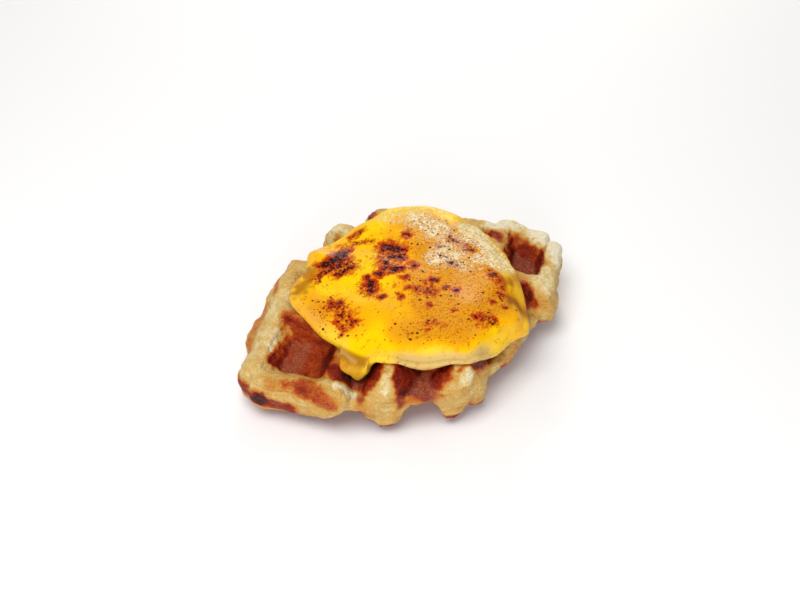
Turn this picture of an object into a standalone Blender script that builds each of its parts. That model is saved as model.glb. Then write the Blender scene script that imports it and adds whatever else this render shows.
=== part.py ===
"""A croffle with melted cheese: croissant dough pressed in a deep waffle iron, under a torched cheese slice.

The dough is laid out flat first. X and Y lie in the flat sheet and H is the height from its middle, all in
millimetres. The iron's lattice lies across the dough at 45 degrees, so the ribs are placed by U and V, which
run along the lattice. The baked sheet then sags over the table in an arch, and the cheese follows it.
"""

import math
from typing import NamedTuple

import bmesh
import bpy
import numpy as np
from mathutils import Matrix, Vector, noise
from mathutils.bvhtree import BVHTree

MM = 0.001
WELD = 0.00002

# Waffle sheet
WEB_HALF = 2.3  # half of the thin floor between ribs
UNDER_DEPTH = 6.5  # away from the edge the floor is thicker below, and the lower cells are shallow
UNDER_SHARE = 0.85  # size of that part against the whole floor
CORE_HEIGHT = 5.0  # under the cheese the upper cells are shallow too
CORE_SHARE = 0.66  # size of that part against the cheese
SKIRT_HEIGHT = 3.2  # above this height a rib starts to narrow
CREST_HALF = 2.3  # half of a rib's width along its top
SKIRT_HALF = 6.6  # half of a rib's width where it meets the floor
RIB_SIDES = 20
SKIRT_CUT = 0.5  # share of the drum's half height at which it is cut to make the skirts
END_SQUARENESS = 0.65  # 1 rounds a rib's ends fully, 0 leaves them square
SLAB_STEPS = 4  # corners of the floor's edge for each point of its outline
LATTICE_TURN = math.radians(45.0)

# Arch of the baked sheet, about an axis along Y
ARCH_TOP = 15.0  # height of the sheet's middle over the table at X = 0
ARCH_RADIUS_LEFT = 330.0
ARCH_RADIUS_RIGHT = 500.0

# Belly: under its middle the dough is thicker and lies flat on the table
BELLY_CENTRE = (0.0, 4.0)
BELLY_HALF_LENGTH = 54.0
BELLY_HALF_WIDTH = 34.0
BELLY_FULL = 0.65  # share of that ellipse over which the belly is full
LOWER_CREST = 10.2  # depth of the ribs under the sheet, before the belly
REST_DEPTH = 0.15  # the lowest of the underside lies flat on the table


class Rib(NamedTuple):
    """One rib from start to end, each given by U, V and crest height; sides are seen from start to end."""

    start: tuple
    end: tuple
    left: float = SKIRT_HALF  # skirt half width on the left
    right: float = SKIRT_HALF
    reach: tuple = (5.0, 5.0)  # how far the skirt bulges past the crest at both ends
    under: tuple = (0.0, 0.0)  # the same for the lower crest
    slant: float = 0.0  # how much further the left corner of the start reaches than its middle


RIBS = (
    # Along V, from the left end to the right
    Rib((-35.5, -42.5, 9.5), (-39.5, 1.0, 9.5), left=7.2, reach=(3.0, 4.0), under=(-3.0, 0.0)),
    Rib((-10.0, -36.0, 9.0), (-12.5, 34.5, 11.0), left=6.0, right=6.0, reach=(4.5, 5.0)),
    Rib((8.0, -35.5, 11.0), (4.5, 40.0, 11.0), right=8.0, reach=(5.0, 4.0), under=(5.0, 0.0), slant=1.5),
    Rib((28.0, -26.0, 11.0), (21.5, 50.0, 10.0), left=8.0, reach=(4.5, 3.0), under=(4.0, 0.0), slant=2.5),
    Rib((41.5, 24.0, 10.0), (38.5, 50.0, 10.0), right=5.5, reach=(4.0, 3.5)),
    # Along U, from the front to the back
    Rib((-34.0, -44.5, 9.0), (-4.5, -42.5, 8.0), left=6.0, right=3.4, reach=(4.0, 3.5), under=(-3.0, -4.0)),
    Rib((-38.0, -17.5, 10.5), (32.0, -18.5, 11.0), reach=(3.0, 4.5), under=(0.0, 3.5)),
    Rib((-39.5, 4.5, 9.5), (38.0, 0.5, 10.0), reach=(3.5, 5.0), under=(0.0, 4.5)),
    Rib((-34.0, 28.5, 9.0), (45.0, 24.5, 10.0), reach=(4.5, 4.5)),
    Rib((-20.5, 38.0, 8.5), (19.0, 48.5, 9.5), left=5.5, reach=(4.0, 3.0)),
    Rib((18.5, 51.5, 9.5), (38.5, 50.5, 10.0), left=5.0, reach=(4.0, 2.5)),
)

# Edge of the thin floor, X and Y
WEB_EDGE = (
    (-55.0, -2.0), (-35.0, -26.5), (-20.5, -35.5), (-1.0, -38.5), (16.0, -36.5), (31.5, -28.5), (51.0, -14.0),
    (62.0, 6.0), (53.0, 20.0), (31.5, 33.0), (10.0, 41.0), (-4.0, 40.0), (-26.5, 30.5), (-41.0, 15.0),
)

# Dough surface
VOXEL = 0.9
SMOOTH_PASSES = 4
SMOOTH_SHARE = 0.5  # how far each pass moves a point towards the middle of its neighbours
LUMP_SIZE = 11.0
LUMP_HEIGHT = 1.3
CRAG_SIZE = 4.5
CRAG_HEIGHT = 0.7
CRAG_SHIFT = Vector((7.0, 3.0, 5.0))  # sets the crags' noise apart from the lumps'
CROFFLE_TRIANGLES = 8400

# Cheese slice: its edge as X and Y, its thickness, and how it lies
CHEESE_CENTRE = (5.0, 0.5)
CHEESE_EDGE = (
    (-32.0, 8.0), (-29.5, -4.0), (-26.0, -12.0), (-28.5, -18.5), (-28.0, -23.5), (-22.5, -26.5),
    (-17.5, -26.0), (-9.0, -33.0), (-1.0, -35.0), (6.0, -38.0), (13.5, -38.0), (20.5, -34.0),
    (31.0, -25.5), (37.0, -13.0), (39.0, 3.0), (37.0, 18.0), (29.5, 33.0), (13.5, 40.0), (1.0, 39.5),
    (-7.0, 35.5), (-13.0, 32.0), (-19.0, 30.0), (-22.5, 22.5), (-28.5, 16.0),
)
CHEESE_THICKNESS = 4.2
CHEESE_THINNEST = 3.1
CHEESE_RIM_RADIUS = 1.9
CHEESE_GAP = 0.5
CHEESE_AROUND = 84
CHEESE_RINGS = 11
CHEESE_RIM_STEPS = 4
TONGUE_AT = (-26.0, -22.5)
TONGUE_RADIUS = 6.0

# Grid on which the slice sinks onto the dough
SAG_STEP = 1.0
SAG_REACH = 50.0
SAG_PASSES = 400
SAG_FROM = 11.0  # height at which the slice starts to sink
SAG_LIMIT = 8.0  # a pocket deeper than this pulls no harder
SAG_PULL = 0.006  # share of the way down to the dough that each pass takes
TONGUE_PULL = 0.3
LEVEL_PASSES = 60  # how far the upper face levels itself out
SPREAD = 2  # grid steps by which a rib holds the slice off around itself
LOOK_FROM = 60.0  # height from which the dough's upper face is looked for

# Plain finishes, linear colours
CRUST_COLOR = (0.62, 0.38, 0.14)
CRUST_ROUGHNESS = 0.5
CHEESE_COLOR = (0.89, 0.47, 0.02)
CHEESE_ROUGHNESS = 0.3


def clear_scene():
    for item in list(bpy.data.objects):
        bpy.data.objects.remove(item, do_unlink=True)


def lattice_to_sheet(u, v):
    """X and Y of a point given along the lattice."""
    cos_turn = math.cos(LATTICE_TURN)
    sin_turn = math.sin(LATTICE_TURN)
    return Vector((u * cos_turn + v * sin_turn, v * cos_turn - u * sin_turn))


def arch(x, y, h):
    """Place on the arched sheet of a point on the flat one."""
    radius = ARCH_RADIUS_LEFT if x < 0.0 else ARCH_RADIUS_RIGHT
    angle = x / radius
    return Vector(((radius + h) * math.sin(angle), y, ARCH_TOP - radius + (radius + h) * math.cos(angle)))


def arch_up(x):
    """Direction of H on the arched sheet."""
    angle = x / (ARCH_RADIUS_LEFT if x < 0.0 else ARCH_RADIUS_RIGHT)
    return Vector((math.sin(angle), 0.0, math.cos(angle)))


def closed_curve(points, count):
    """Even parameter steps along a smooth closed curve through the points."""
    curve = []
    total = len(points)
    for step in range(count):
        place = step * total / count
        index = int(place)
        t = place - index
        p0, p1, p2, p3 = (Vector(points[(index + k) % total]) for k in (-1, 0, 1, 2))
        curve.append(
            0.5 * (2.0 * p1 + (p2 - p0) * t + (2.0 * p0 - 5.0 * p1 + 4.0 * p2 - p3) * t**2
                   + (3.0 * p1 - p0 - 3.0 * p2 + p3) * t**3)
        )
    return curve


def add_rib(bm, rib):
    """A drum pulled out to a bar with round ends, narrow along its top and bottom and wide between them."""
    a = lattice_to_sheet(rib.start[0], rib.start[1])
    b = lattice_to_sheet(rib.end[0], rib.end[1])
    along = (b - a).normalized()
    left = Vector((-along.y, along.x))
    drum = bmesh.ops.create_cone(bm, cap_ends=True, segments=RIB_SIDES, radius1=1.0, radius2=1.0, depth=2.0)
    drum = drum["verts"]
    bmesh.ops.rotate(bm, verts=drum, matrix=Matrix.Rotation(math.pi / RIB_SIDES, 3, "Z"))
    edges = list({edge for vert in drum for edge in vert.link_edges})
    faces = list({face for vert in drum for face in vert.link_faces})
    bar = drum + edges + faces
    for level in (-SKIRT_CUT, SKIRT_CUT):
        bar = bmesh.ops.bisect_plane(bm, geom=bar, plane_co=(0, 0, level), plane_no=(0, 0, 1))["geom"]
    for vert in [item for item in bar if isinstance(item, bmesh.types.BMVert)]:
        at_end = vert.co.x > 0.0
        which = 1 if at_end else 0
        ahead = abs(vert.co.x) ** END_SQUARENESS
        aside = math.copysign(abs(vert.co.y) ** END_SQUARENESS, vert.co.y)
        on_crest = abs(vert.co.z) > (1.0 + SKIRT_CUT) / 2.0
        half = CREST_HALF if on_crest else (rib.left if aside > 0.0 else rib.right)
        reach = (rib.under if on_crest else rib.reach)[which]
        if not at_end:
            reach += rib.slant * aside
        if on_crest and vert.co.z > 0.0:
            reach = 0.0
        beyond = reach - half * (1.0 - ahead)
        middle = (b + along * beyond) if at_end else (a - along * beyond)
        place = middle + left * half * aside
        height = (rib.end if at_end else rib.start)[2] if on_crest else SKIRT_HEIGHT
        vert.co = (place.x, place.y, math.copysign(height, vert.co.z))


def add_slab(bm, outline, share, low, high):
    """A flat slab with the outline's shape, at a share of its size about its middle."""
    edge = closed_curve(outline, SLAB_STEPS * len(outline))
    middle = sum(edge, Vector((0.0, 0.0))) / len(edge)
    places = [middle + (point - middle) * share for point in edge]
    slab = bm.faces.new([bm.verts.new((place.x, place.y, low)) for place in places])
    grown = bmesh.ops.extrude_face_region(bm, geom=[slab])["geom"]
    top = [item for item in grown if isinstance(item, bmesh.types.BMVert)]
    bmesh.ops.translate(bm, verts=top, vec=(0, 0, high - low))


def new_object(name, bm, color, roughness):
    mesh = bpy.data.meshes.new(name)
    bm.to_mesh(mesh)
    bm.free()
    item = bpy.data.objects.new(name, mesh)
    bpy.context.scene.collection.objects.link(item)
    material = bpy.data.materials.new(name)
    material.use_nodes = True
    shader = material.node_tree.nodes["Principled BSDF"]
    shader.inputs["Base Color"].default_value = (*color, 1.0)
    shader.inputs["Roughness"].default_value = roughness
    shader.inputs["Metallic"].default_value = 0.0
    mesh.materials.append(material)
    mesh.shade_smooth()
    return item


def apply_modifiers(item):
    """Replaces the object's mesh by what its modifiers make of it."""
    graph = bpy.context.evaluated_depsgraph_get()
    shaped = bpy.data.meshes.new_from_object(item.evaluated_get(graph))
    item.modifiers.clear()
    item.data = shaped


def dough_relief(point):
    """How far the baked surface stands out at a point of the flat sheet."""
    lump = noise.noise(point / LUMP_SIZE)
    crag = noise.noise(point / CRAG_SIZE + CRAG_SHIFT)
    return LUMP_HEIGHT * lump + CRAG_HEIGHT * crag


def belly_stretch(x, y):
    """How much deeper the ribs reach under the sheet at a point."""
    far = math.hypot((x - BELLY_CENTRE[0]) / BELLY_HALF_LENGTH, (y - BELLY_CENTRE[1]) / BELLY_HALF_WIDTH)
    share = min(max((1.0 - far) / (1.0 - BELLY_FULL), 0.0), 1.0)
    full = arch(x, y, 0.0).z / LOWER_CREST
    return 1.0 + (full - 1.0) * share * share * (3.0 - 2.0 * share)


def make_croffle():
    bm = bmesh.new()
    for rib in RIBS:
        add_rib(bm, rib)
    add_slab(bm, WEB_EDGE, 1.0, -WEB_HALF, WEB_HALF)
    add_slab(bm, WEB_EDGE, UNDER_SHARE, -UNDER_DEPTH, 0.0)
    add_slab(bm, CHEESE_EDGE, CORE_SHARE, 0.0, CORE_HEIGHT)
    bmesh.ops.recalc_face_normals(bm, faces=bm.faces)
    croffle = new_object("croffle", bm, CRUST_COLOR, CRUST_ROUGHNESS)

    remesh = croffle.modifiers.new("join", "REMESH")
    remesh.mode = "VOXEL"
    remesh.voxel_size = VOXEL
    apply_modifiers(croffle)

    bm = bmesh.new()
    bm.from_mesh(croffle.data)
    for _ in range(SMOOTH_PASSES):
        bmesh.ops.smooth_vert(
            bm, verts=bm.verts, factor=SMOOTH_SHARE, use_axis_x=True, use_axis_y=True, use_axis_z=True
        )
    bm.normal_update()
    places = [vert.co + vert.normal * dough_relief(vert.co) for vert in bm.verts]
    for vert, place in zip(bm.verts, places):
        if place.z < 0.0:
            place.z *= belly_stretch(place.x, place.y)
        vert.co = arch(*place)
        vert.co.z = max(vert.co.z, 0.0)
        vert.co *= MM
    bm.to_mesh(croffle.data)
    bm.free()

    thin = croffle.modifiers.new("thin", "DECIMATE")
    triangles = sum(len(face.vertices) - 2 for face in croffle.data.polygons)
    thin.ratio = CROFFLE_TRIANGLES / triangles
    thin.use_collapse_triangulate = True
    apply_modifiers(croffle)
    for vert in croffle.data.vertices:
        if vert.co.z < REST_DEPTH * MM:
            vert.co.z = 0.0
    return croffle


def dough_height(tree, x, y):
    """Height of the dough's upper face over the middle of the sheet, and far below it beside the dough."""
    start = arch(x, y, LOOK_FROM)
    distance = tree.ray_cast(start * MM, -arch_up(x), 2.0 * LOOK_FROM * MM)[3]
    return -LOOK_FROM if distance is None else LOOK_FROM - distance / MM


def spread_up(grid, steps):
    """Each value becomes the highest within some steps round it."""
    for _ in range(steps):
        padded = np.pad(grid, 1, mode="edge")
        across = np.maximum(padded[:-2, 1:-1], padded[2:, 1:-1])
        along = np.maximum(padded[1:-1, :-2], padded[1:-1, 2:])
        grid = np.maximum(grid, np.maximum(across, along))
    return grid


def blurred(grid):
    padded = np.pad(grid, 1, mode="edge")
    return (padded[:-2, 1:-1] + padded[2:, 1:-1] + padded[1:-1, :-2] + padded[1:-1, 2:]) / 4.0


def sunk_slice(tree):
    """Heights of the slice's lower and upper faces on the grid: it bridges the pockets and sags into them."""
    count = int(2 * SAG_REACH / SAG_STEP) + 1
    ticks = [SAG_STEP * k - SAG_REACH for k in range(count)]
    dough = np.array([[dough_height(tree, x, y) for y in ticks] for x in ticks])
    floor = spread_up(dough, SPREAD) + CHEESE_GAP
    xs, ys = np.meshgrid(ticks, ticks, indexing="ij")
    to_tongue = np.hypot(xs - TONGUE_AT[0], ys - TONGUE_AT[1]) / TONGUE_RADIUS
    pull = SAG_PULL + TONGUE_PULL * np.exp(-to_tongue**2)
    low = np.maximum(floor, SAG_FROM)
    for _ in range(SAG_PASSES):
        mean = blurred(low)
        low = np.maximum(mean + pull * np.clip(floor - mean, -SAG_LIMIT, 0.0), floor)
    top = low + CHEESE_THICKNESS
    for _ in range(LEVEL_PASSES):
        top = np.maximum(blurred(top), low + CHEESE_THINNEST)
    return low, top


def read_grid(grid, x, y):
    """Value between the grid's points."""
    a = (x + SAG_REACH) / SAG_STEP
    b = (y + SAG_REACH) / SAG_STEP
    i = int(a)
    j = int(b)
    s = a - i
    t = b - j
    near = grid[i][j] * (1.0 - t) + grid[i][j + 1] * t
    far = grid[i + 1][j] * (1.0 - t) + grid[i + 1][j + 1] * t
    return float(near * (1.0 - s) + far * s)


def make_cheese(croffle):
    graph = bpy.context.evaluated_depsgraph_get()
    low, top = sunk_slice(BVHTree.FromObject(croffle, graph))
    edge = closed_curve(CHEESE_EDGE, CHEESE_AROUND)
    centre = Vector(CHEESE_CENTRE)
    rows = []
    for ring in range(CHEESE_RINGS + 1):
        spots = [centre + (point - centre) * ring / CHEESE_RINGS for point in edge]
        rows.append([(spot.x, spot.y, read_grid(top, spot.x, spot.y)) for spot in spots])
    for step in range(1, CHEESE_RIM_STEPS):
        angle = math.pi * step / CHEESE_RIM_STEPS
        row = []
        for point in edge:
            upper = read_grid(top, point.x, point.y)
            lower = read_grid(low, point.x, point.y)
            out = point + (point - centre).normalized() * CHEESE_RIM_RADIUS * math.sin(angle)
            row.append((out.x, out.y, (upper + lower) / 2.0 + (upper - lower) / 2.0 * math.cos(angle)))
        rows.append(row)
    for ring in reversed(range(CHEESE_RINGS + 1)):
        spots = [centre + (point - centre) * ring / CHEESE_RINGS for point in edge]
        rows.append([(spot.x, spot.y, read_grid(low, spot.x, spot.y)) for spot in spots])

    bm = bmesh.new()
    bmesh.ops.create_grid(bm, x_segments=CHEESE_AROUND, y_segments=len(rows) - 1, size=0.5)
    for vert in bm.verts:
        column = round((vert.co.x + 0.5) * CHEESE_AROUND) % CHEESE_AROUND
        row = round((vert.co.y + 0.5) * (len(rows) - 1))
        vert.co = arch(*rows[row][column]) * MM
    bmesh.ops.remove_doubles(bm, verts=bm.verts, dist=WELD)
    bmesh.ops.triangulate(bm, faces=bm.faces)
    bmesh.ops.recalc_face_normals(bm, faces=bm.faces)
    return new_object("cheese", bm, CHEESE_COLOR, CHEESE_ROUGHNESS)


def centre_over_origin(items):
    """Moves the pieces together so that the origin is at the middle of their box's bottom face."""
    verts = [vert for item in items for vert in item.data.vertices]
    lowest = Vector([min(vert.co[axis] for vert in verts) for axis in range(3)])
    highest = Vector([max(vert.co[axis] for vert in verts) for axis in range(3)])
    middle = (lowest + highest) / 2.0
    for vert in verts:
        vert.co -= Vector((middle.x, middle.y, lowest.z))


def main():
    clear_scene()
    croffle = make_croffle()
    cheese = make_cheese(croffle)
    centre_over_origin([croffle, cheese])


main()
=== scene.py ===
"""Looks of a croffle: croissant dough baked in a deep waffle iron, under a melted and torched cheese slice.

Both pieces are first laid out on a flat sheet, with X and Y in it and H up from its middle, in
millimetres. U and V run along the iron's lattice, which lies across the dough at 45 degrees. The sheet
then arches over the table.
"""

import math
from typing import NamedTuple

import bmesh
import bpy
import numpy as np
from mathutils import Matrix, Vector, noise
from mathutils.bvhtree import BVHTree


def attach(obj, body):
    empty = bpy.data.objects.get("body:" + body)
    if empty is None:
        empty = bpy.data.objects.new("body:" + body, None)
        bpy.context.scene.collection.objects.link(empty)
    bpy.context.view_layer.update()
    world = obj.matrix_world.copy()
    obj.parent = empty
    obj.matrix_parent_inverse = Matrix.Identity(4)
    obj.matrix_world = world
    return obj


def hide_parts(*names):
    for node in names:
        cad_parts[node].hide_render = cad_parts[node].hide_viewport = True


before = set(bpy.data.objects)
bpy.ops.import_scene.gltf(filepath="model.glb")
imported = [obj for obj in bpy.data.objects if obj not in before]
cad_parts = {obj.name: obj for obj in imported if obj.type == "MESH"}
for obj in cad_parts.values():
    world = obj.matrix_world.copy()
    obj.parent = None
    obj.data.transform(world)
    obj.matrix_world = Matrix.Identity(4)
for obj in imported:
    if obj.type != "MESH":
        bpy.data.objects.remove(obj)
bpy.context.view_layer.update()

MM = 0.001
WELD = 0.00001

# The flat layout's origin in the part's frame, X and Y
LAYOUT_SHIFT = Vector((-3.991, -3.696, 0.0))

# Waffle sheet
WEB_HALF = 2.3  # half thickness of its thin floor
UNDER_DEPTH = 6.5  # thicker dough under the floor, at a share of the floor's size
UNDER_SHARE = 0.85
CORE_HEIGHT = 5.0  # thicker dough on the floor, at a share of the cheese slice's size
CORE_SHARE = 0.66
SKIRT_HEIGHT = 3.2  # below this a rib has its full width, from its skirt
CREST_HALF = 2.3
SKIRT_HALF = 6.6
RIB_SIDES = 20
SKIRT_CUT = 0.5  # where the drum that a rib is made from is cut for its skirt
END_SQUARENESS = 0.65  # 1 would make the ends of the ribs round, and less makes them squarer
LATTICE_TURN = math.radians(45.0)

# Arch of the baked sheet, about an axis along Y
ARCH_TOP = 15.0
ARCH_RADIUS_LEFT = 330.0
ARCH_RADIUS_RIGHT = 500.0

# Belly: under its middle the dough is thicker and lies flat on the table
BELLY_CENTRE = (0.0, 4.0)
BELLY_HALF_LENGTH = 54.0
BELLY_HALF_WIDTH = 34.0
BELLY_FULL = 0.65  # it lies flat within this share of its half sizes
LOWER_CREST = 10.2  # how deep the ribs reach under the flat sheet


class Rib(NamedTuple):
    """One rib from start to end, each given by U, V and crest height; sides are seen from start to end."""

    start: tuple
    end: tuple
    left: float = SKIRT_HALF  # skirt half width on the left
    right: float = SKIRT_HALF
    reach: tuple = (5.0, 5.0)  # how far the skirt bulges past the crest at both ends
    under: tuple = (0.0, 0.0)  # the same for the lower crest
    slant: float = 0.0  # how much further the left corner of the start reaches than its middle
    lean: float = 0.0  # how far the start of the crest stands to the right of the rib's middle
    depth: float = 1.0  # depth of the lower crest as a share of the upper one's height
    tuck: float = 0.0  # how much less the lower half of the skirt bulges past the end


RIBS = (
    # Along V, from the left end to the right
    Rib((-35.5, -42.5, 9.5), (-39.5, 1.0, 9.5), left=7.2, reach=(3.0, 4.0), under=(-3.0, 0.0)),
    Rib((-41.0, -27.5, 5.0), (-41.5, -16.0, 5.0), left=5.4, right=4.0, reach=(2.0, 2.0), under=(-3.0, -3.0)),
    Rib((-10.0, -36.0, 7.0), (-12.5, 34.5, 11.0), left=6.0, right=6.0, reach=(4.5, 5.0)),
    Rib(
        (8.0, -35.5, 11.0), (4.5, 40.0, 11.0), left=8.0, right=8.0, reach=(5.0, 4.0), under=(4.5, 0.0),
        slant=1.5,
    ),
    Rib(
        (2.6, -36.0, 3.6), (3.6, -26.0, 3.6), left=3.6, right=4.5, reach=(4.6, 0.0), under=(4.2, 0.0),
        depth=2.5,
    ),
    Rib(
        (28.0, -26.0, 11.0), (21.5, 50.0, 10.0), left=8.0, reach=(4.5, 3.0), under=(2.8, 0.0), slant=2.5,
        lean=2.2,
    ),
    Rib((44.3, 24.0, 10.0), (41.4, 47.8, 10.0), left=4.5, right=3.8, reach=(4.0, 2.8), depth=0.75),
    # Along U, from the front to the back
    Rib(
        (-34.0, -44.5, 9.0), (-6.0, -42.5, 8.0), left=7.5, right=3.4, reach=(4.0, 3.6), under=(-3.0, -4.0),
        depth=0.72, tuck=3.6,
    ),
    Rib((-38.0, -15.8, 10.5), (32.0, -18.5, 11.0), reach=(3.0, 4.5), under=(0.0, 3.5)),
    Rib((-42.2, 5.4, 9.5), (38.0, 0.5, 10.0), reach=(3.6, 5.0), under=(0.0, 0.5)),
    Rib((-34.0, 28.5, 9.0), (45.0, 24.5, 10.0), reach=(4.5, 4.5), under=(0.0, -6.0)),
    Rib((-23.5, 38.0, 10.0), (19.0, 48.5, 9.5), left=6.0, reach=(3.6, 3.0)),
    Rib((20.5, 51.5, 9.5), (38.0, 49.6, 10.0), left=5.0, reach=(4.0, 2.0)),
)

# Edge of the thin floor, X and Y
WEB_EDGE = (
    (-55.0, -2.0), (-35.0, -26.5), (-20.5, -35.5), (-1.0, -38.5), (16.0, -36.5), (31.5, -28.5), (51.0, -14.0),
    (62.0, 6.0), (53.0, 20.0), (31.5, 33.0), (10.0, 41.0), (-4.0, 40.0), (-26.5, 30.5), (-41.0, 15.0),
)

# Dough surface. Each shift keeps one noise apart from the others.
VOXEL = 0.62
SMOOTH_PASSES = 7
SMOOTH_FACTOR = 0.5
LUMP_SIZE = 11.0
LUMP_HEIGHT = 1.3
CRAG_SIZE = 4.5
CRAG_HEIGHT = 0.55
CRAG_SHIFT = Vector((7.0, 3.0, 5.0))
LEAF_SPACING = 2.4  # distance between the edges of the dough's leaves
LEAF_HEIGHT = 0.14
LEAF_FALL = 0.45  # how far a leaf falls for each millimetre to the right
LEAF_WAVER = 2.2  # how far it wavers about its level
LEAF_WAVER_SIZE = 7.0
LEAF_WAVER_SHIFT = Vector((1.0, 9.0, 2.0))
PORE_SIZE = 1.5
PORE_HEIGHT = 0.12
PORE_SHIFT = Vector((4.0, 8.0, 6.0))

# Where the iron browned the dough. Inside this edge, U and V, the studs of the iron pressed the cells.
CELLS_EDGE = (
    (-36.0, -38.5), (-38.5, -20.0), (-39.0, -14.5), (-31.0, -14.5), (-31.0, 4.0), (-34.0, 28.0),
    (-20.0, 38.0), (0.0, 43.5), (19.0, 49.0), (39.5, 50.5), (42.5, 25.0), (37.0, 0.5), (35.5, -18.0),
    (34.0, -21.5), (31.0, -24.4), (28.8, -27.4), (26.8, -29.3), (22.6, -32.0), (20.8, -32.9),
    (17.9, -33.8), (15.3, -34.2), (14.0, -36.0), (12.8, -39.5), (11.8, -37.3), (10.4, -36.1),
    (8.7, -33.4), (7.6, -32.2), (6.6, -33.4), (6.3, -36.8), (4.6, -38.9), (2.2, -40.6), (0.6, -41.9),
    (-0.9, -41.2), (-1.4, -37.5), (-8.0, -38.0), (-20.0, -37.5), (-30.0, -36.5),
)
CELL_BLUR = 0.9
CREST_LOWEST = 6.0  # a rib lower than this is browned like the cell it lies in
FLANK_FROM = 2.1  # the flank of a rib starts to brown this far from its middle line
FLANK_DARK = 4.4
TEETH_FROM = -4.0  # U past which the ribs end in teeth, whose flanks are browned right up to the crest
TEETH_BACK = -12.0  # V in front of which they lie
TEETH_DEPTH = 7.0
TEETH_SHIFT = 2.0

# Unevenness of the browning
BLOTCH_SIZE = 5.0
MOTTLE_SIZE = 1.9
FLECK_SIZE = 1.0

# Tones of the browning, 0 to 1. A tone starts at the first of its levels, as H, and is full at the second.
# Its facings are the same for how far a face looks along U, or up.
CREST_TONE = 0.27
CELL_TONE = 0.66
CELL_LEVELS = (-3.0, 0.0)
WALL_TONE = 0.16  # what the walls of the ribs along V add to the cells' tone
WALL_FACING = (0.25, 0.7)
LOWER_LEVELS = (-8.6, -9.8)  # brown lower edge
LOWER_FACING = (-0.3, -0.8)
GLAZE_LEVELS = (3.8, 2.4)  # caramelised butter in the cells


class Patch(NamedTuple):
    """A stretch of dough from start to end, each X, Y and H, baked browner or left paler than the rest."""

    start: tuple
    end: tuple
    radius: float
    change: float  # what it adds to the browning, which runs from 0 to 1


PATCHES = (
    # Toasted blotches on the front rib
    Patch((-52.0, -12.8, 8.0), (-48.0, -15.4, 7.8), 2.2, 0.14),
    Patch((-47.4, -15.8, 8.0), (-44.8, -20.0, 6.4), 2.2, 0.12),
    Patch((-43.0, -18.8, 7.4), (-38.4, -26.6, 3.8), 3.4, 0.32),
    # Outer side and bottom edge of the left end
    Patch((-40.5, 22.5, 4.0), (-52.0, 8.0, 4.2), 2.6, 0.2),
    Patch((-60.4, -3.0, 2.2), (-57.0, -10.4, 2.0), 3.2, 0.5),
    Patch((-56.4, -11.4, 0.6), (-49.5, -17.0, -2.2), 3.2, 0.45),
    # Left cell: its far wall is lighter, and the rib on its right is darkest under the cheese, browned and
    # with the cheese's shadow painted on
    Patch((-46.5, 3.2, 5.0), (-40.0, 8.5, 5.0), 3.4, -0.36),
    Patch((-36.5, 10.5, 9.5), (-32.0, 8.0, 9.5), 2.2, 0.32),
    # Painted shadow of the cheese, with browner dough
    Patch((-31.0, -8.0, 6.0), (-30.5, -21.0, 6.0), 3.8, 0.2),
    Patch((-32.8, -15.0, 9.0), (-31.6, -20.0, 8.0), 2.6, 0.35),
    # Right lobe's cell
    Patch((52.5, 9.5, 5.0), (50.0, -1.5, 5.0), 4.5, 0.1),
    Patch((55.5, 3.0, 8.0), (53.0, -5.0, 8.5), 2.0, 0.3),
    Patch((47.5, 11.5, 8.5), (47.0, 3.0, 8.5), 2.2, -0.2),
    # Back of the right lobe: a dark spot and a golden stretch beside its cell
    Patch((44.6, 17.0, 9.5), (45.4, 12.2, 9.5), 1.9, 0.42),
    Patch((48.0, 15.5, 9.0), (54.5, 14.0, 9.0), 2.4, 0.16),
    # Darker crease between the cheese and the smaller lobe: painted shade
    Patch((42.8, -5.0, 9.4), (41.8, -10.7, 8.4), 1.7, 0.1),
    Patch((41.8, -10.7, 8.4), (42.8, -16.4, 4.2), 1.7, 0.3),
    # Painted contact shadow along the smaller lobe's bottom edge
    Patch((39.0, -21.0, -4.0), (48.5, -18.0, -4.0), 2.2, 0.3),
    Patch((43.5, -18.6, 4.6), (46.5, -17.6, 4.6), 2.6, 0.1),
    Patch((24.5, -33.0, 0.5), (27.5, -31.0, 0.5), 3.0, 0.1),
    # Golden lip of the front cell and corners of the teeth
    Patch((-18.0, -33.6, 2.4), (-9.5, -38.0, 1.2), 2.4, 0.26),
    Patch((-28.4, -29.5, 0.5), (-26.5, -30.5, -4.0), 2.6, 0.14),
    # Brown flecks along the back left edge
    Patch((-35.0, 24.0, 8.0), (-31.5, 29.0, 8.0), 1.6, 0.3),
    Patch((4.5, 42.5, 7.5), (9.5, 44.2, 8.5), 2.4, 0.48),
    Patch((-27.8, 18.6, 9.5), (-26.8, 21.4, 9.5), 1.7, 0.45),
    # Pale where the dough swelled freely: left rib, right lobe, tips of the teeth; and the front end's glossy
    # streak, a painted sheen
    Patch((-57.0, -3.0, 9.5), (-42.0, 12.0, 9.5), 6.5, -0.07),
    Patch((-37.0, 17.0, 9.5), (-32.0, 27.0, 9.5), 4.0, -0.06),
    # Painted sheen: the glossy streak at the front rib's end
    Patch((-33.4, -24.0, 8.0), (-28.6, -28.0, 2.6), 1.6, -0.26),
    Patch((49.0, 21.0, 9.0), (61.0, 11.5, 9.0), 5.0, -0.27),
    Patch((61.8, 7.0, 10.0), (60.5, -4.0, 10.0), 4.5, -0.26),
    Patch((48.5, -14.0, 10.0), (50.5, -9.0, 10.0), 4.5, -0.14),
    Patch((-19.5, -31.2, 10.0), (-21.0, -32.6, 6.5), 2.0, -0.14),
    Patch((5.0, -40.4, 10.0), (3.5, -41.8, 6.5), 2.2, -0.16),
    Patch((-4.7, 41.0, 8.5), (-10.0, 38.0, 8.5), 4.0, -0.2),
)
DRY_SLOPE = ((-38.9, -12.0, 2.5), (-27.6, -0.7, 2.5), 4.0)  # slope in the left cell that holds no butter

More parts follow.
